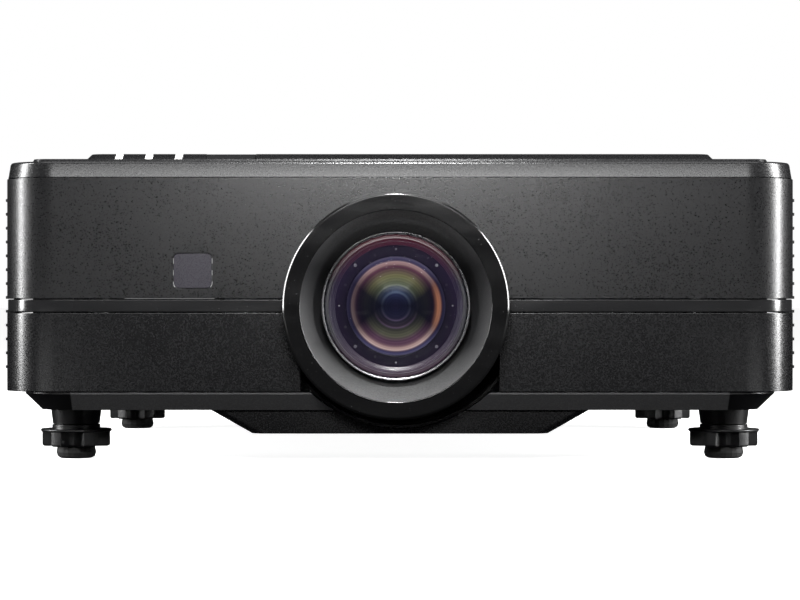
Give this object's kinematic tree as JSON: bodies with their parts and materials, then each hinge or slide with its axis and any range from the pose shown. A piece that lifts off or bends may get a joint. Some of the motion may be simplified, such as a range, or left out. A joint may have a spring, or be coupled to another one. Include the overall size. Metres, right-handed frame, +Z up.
{
  "type": "installation projector",
  "caption": "Wide flat black projector with a shifting zoom lens in a round shroud, louvred sides, screw-adjusted star-knob feet, keypad and rear sockets.",
  "frame": {"origin": "on the surface it stands on, in the middle of its outline", "axes": "+Z up, +X to the right of someone facing the lens, the lens looks along -Y"},
  "size_m": [0.484, 0.509, 0.185],
  "materials": {
    "textured_black": "fine spark-eroded texture, satin",
    "tray_black": "fine texture, matte",
    "gloss_black": "smooth gloss",
    "flat_black": "flat black",
    "infrared_window": "smooth dark filter plastic",
    "light_guide": "milky light guide",
    "key_grey": "satin",
    "key_orange": "satin",
    "foot_rubber": "matte",
    "knob_black": "satin",
    "bright_screw": "bright",
    "black_anodised": "black anodised, turned",
    "coated_glass": "polished, coated",
    "gear_brass": "cut",
    "zinc_sheet": "plated sheet",
    "cast_aluminium": "as cast",
    "circuit_board": "solder mask",
    "phosphor_disc": "coated disc"
  },
  "bodies": {
    "chassis": {"top_lid": "textured_black", "top_cover_plate": "textured_black", "front_upper_fascia": "textured_black", "lower_fascia_left": "textured_black", "lower_fascia_right": "textured_black", "left_side_grille": "textured_black", "right_side_grille": "textured_black", "rear_panel": "textured_black", "base_tray": "tray_black", "belly_cover": "tray_black", "accent_band_left": "gloss_black", "accent_band_right": "gloss_black", "top_ir_window": "gloss_black", "lens_well": "flat_black", "ac_inlet": "flat_black", "fan_frame_left": "flat_black", "fan_frame_right": "flat_black", "front_ir_window": "infrared_window", "status_lights": "light_guide", "cover_screw": "bright_screw", "connector_plate": "zinc_sheet", "hdmi_port": "zinc_sheet", "network_jack": "zinc_sheet", "serial_port": "zinc_sheet", "power_supply": "zinc_sheet", "light_engine": "cast_aluminium", "heat_sink": "cast_aluminium", "lens_mount_frame": "cast_aluminium", "main_board": "circuit_board"},
    "foot_front_left": {"foot_pad_front_left": "foot_rubber"},
    "knob_front_left": {"foot_knob_front_left": "knob_black"},
    "foot_front_right": {"foot_pad_front_right": "foot_rubber"},
    "knob_front_right": {"foot_knob_front_right": "knob_black"},
    "foot_rear_left": {"foot_pad_rear_left": "foot_rubber"},
    "knob_rear_left": {"foot_knob_rear_left": "knob_black"},
    "foot_rear_right": {"foot_pad_rear_right": "foot_rubber"},
    "knob_rear_right": {"foot_knob_rear_right": "knob_black"},
    "lens_shift_carriage": {"shift_plate_h": "cast_aluminium"},
    "lens": {"shift_plate_v": "cast_aluminium", "lens_shroud_ring": "gloss_black", "lens_barrel": "black_anodised", "zoom_motor": "zinc_sheet"},
    "focus_group": {"focus_cell": "black_anodised", "retainer_ring": "black_anodised", "front_glass": "coated_glass", "inner_glass": "coated_glass"},
    "zoom_group": {"zoom_cell": "black_anodised", "zoom_glass": "coated_glass"},
    "zoom_gear": {"zoom_ring_gear": "gear_brass"},
    "zoom_drive": {"zoom_pinion": "gear_brass"},
    "key_power": {"key_power": "key_orange"},
    "key_menu": {"key_menu": "key_grey"},
    "key_up": {"key_up": "key_grey"},
    "key_source": {"key_source": "key_grey"},
    "key_enter": {"key_enter": "key_grey"},
    "key_down": {"key_down": "key_grey"},
    "power_rocker": {"power_rocker": "knob_black"},
    "fan_rotor_left": {"fan_rotor_left": "knob_black"},
    "fan_rotor_right": {"fan_rotor_right": "knob_black"},
    "phosphor_wheel": {"phosphor_wheel": "phosphor_disc"}
  },
  "joints": [
    {"name": "foot_front_left_lift", "type": "slide", "parent": "chassis", "child": "foot_front_left", "axis": [0, 0, -1], "range_m": [0, 0.0099]},
    {"name": "foot_front_left_turn", "type": "hinge", "parent": "foot_front_left", "child": "knob_front_left", "pos_m": [-0.197, -0.1845, 0.012], "axis": [0, 0, 1], "range_deg": [0, 2388]},
    {"name": "foot_front_right_lift", "type": "slide", "parent": "chassis", "child": "foot_front_right", "axis": [0, 0, -1], "range_m": [0, 0.0099]},
    {"name": "foot_front_right_turn", "type": "hinge", "parent": "foot_front_right", "child": "knob_front_right", "pos_m": [0.197, -0.1845, 0.012], "axis": [0, 0, 1], "range_deg": [0, 2388]},
    {"name": "foot_rear_left_lift", "type": "slide", "parent": "chassis", "child": "foot_rear_left", "axis": [0, 0, -1], "range_m": [0, 0.0099]},
    {"name": "foot_rear_left_turn", "type": "hinge", "parent": "foot_rear_left", "child": "knob_rear_left", "pos_m": [-0.197, 0.1955, 0.012], "axis": [0, 0, 1], "range_deg": [0, 2388]},
    {"name": "foot_rear_right_lift", "type": "slide", "parent": "chassis", "child": "foot_rear_right", "axis": [0, 0, -1], "range_m": [0, 0.0099]},
    {"name": "foot_rear_right_turn", "type": "hinge", "parent": "foot_rear_right", "child": "knob_rear_right", "pos_m": [0.197, 0.1955, 0.012], "axis": [0, 0, 1], "range_deg": [0, 2388]},
    {"name": "lens_shift_h", "type": "slide", "parent": "chassis", "child": "lens_shift_carriage", "axis": [1, 0, 0], "range_m": [-0.0012, 0.006]},
    {"name": "lens_shift_v", "type": "slide", "parent": "lens_shift_carriage", "child": "lens", "axis": [0, 0, 1], "range_m": [-0.0024, 0.0066]},
    {"name": "focus_slide", "type": "slide", "parent": "lens", "child": "focus_group", "axis": [0, -1, 0], "range_m": [-0.0015, 0.0015]},
    {"name": "zoom_ring_turn", "type": "hinge", "parent": "lens", "child": "zoom_gear", "pos_m": [-0.0024, -0.1565, 0.0924], "axis": [0, 1, 0], "range_deg": [-30, 30]},
    {"name": "zoom_slide", "type": "slide", "parent": "lens", "child": "zoom_group", "axis": [0, 1, 0], "range_m": [-0.004, 0.004]},
    {"name": "zoom_pinion_turn", "type": "hinge", "parent": "lens", "child": "zoom_drive", "pos_m": [-0.0024, -0.1565, 0.1414], "axis": [0, 1, 0], "range_deg": [-180, 180]},
    {"name": "key_power_press", "type": "slide", "parent": "chassis", "child": "key_power", "axis": [0, 0, -1], "range_m": [0, 0.0012], "stiffness_N_per_m": 500, "springref_m": -0.0008},
    {"name": "key_menu_press", "type": "slide", "parent": "chassis", "child": "key_menu", "axis": [0, 0, -1], "range_m": [0, 0.0012], "stiffness_N_per_m": 500, "springref_m": -0.0008},
    {"name": "key_up_press", "type": "slide", "parent": "chassis", "child": "key_up", "axis": [0, 0, -1], "range_m": [0, 0.0012], "stiffness_N_per_m": 500, "springref_m": -0.0008},
    {"name": "key_source_press", "type": "slide", "parent": "chassis", "child": "key_source", "axis": [0, 0, -1], "range_m": [0, 0.0012], "stiffness_N_per_m": 500, "springref_m": -0.0008},
    {"name": "key_enter_press", "type": "slide", "parent": "chassis", "child": "key_enter", "axis": [0, 0, -1], "range_m": [0, 0.0012], "stiffness_N_per_m": 500, "springref_m": -0.0008},
    {"name": "key_down_press", "type": "slide", "parent": "chassis", "child": "key_down", "axis": [0, 0, -1], "range_m": [0, 0.0012], "stiffness_N_per_m": 500, "springref_m": -0.0008},
    {"name": "power_rocker_tip", "type": "hinge", "parent": "chassis", "child": "power_rocker", "pos_m": [0.15, 0.2475, 0.076], "axis": [1, 0, 0], "range_deg": [-18, 0]},
    {"name": "fan_left_spin", "type": "hinge", "parent": "chassis", "child": "fan_rotor_left", "pos_m": [-0.2197, -0.0745, 0.10485], "axis": [1, 0, 0], "continuous": true},
    {"name": "fan_right_spin", "type": "hinge", "parent": "chassis", "child": "fan_rotor_right", "pos_m": [0.2197, -0.0745, 0.10485], "axis": [1, 0, 0], "continuous": true},
    {"name": "phosphor_wheel_spin", "type": "hinge", "parent": "chassis", "child": "phosphor_wheel", "pos_m": [0.018, -0.024, 0.084], "axis": [0, 1, 0], "continuous": true}
  ],
  "couplings": [
    {"joint": "foot_front_left_turn", "follows": "foot_front_left_lift", "rad_per_m": 4188.8},
    {"joint": "foot_front_right_turn", "follows": "foot_front_right_lift", "rad_per_m": 4188.8},
    {"joint": "foot_rear_left_turn", "follows": "foot_rear_left_lift", "rad_per_m": 4188.8},
    {"joint": "foot_rear_right_turn", "follows": "foot_rear_right_lift", "rad_per_m": 4188.8},
    {"joint": "zoom_ring_turn", "follows": "zoom_slide", "rad_per_m": 130},
    {"joint": "zoom_pinion_turn", "follows": "zoom_slide", "rad_per_m": -780}
  ]
}
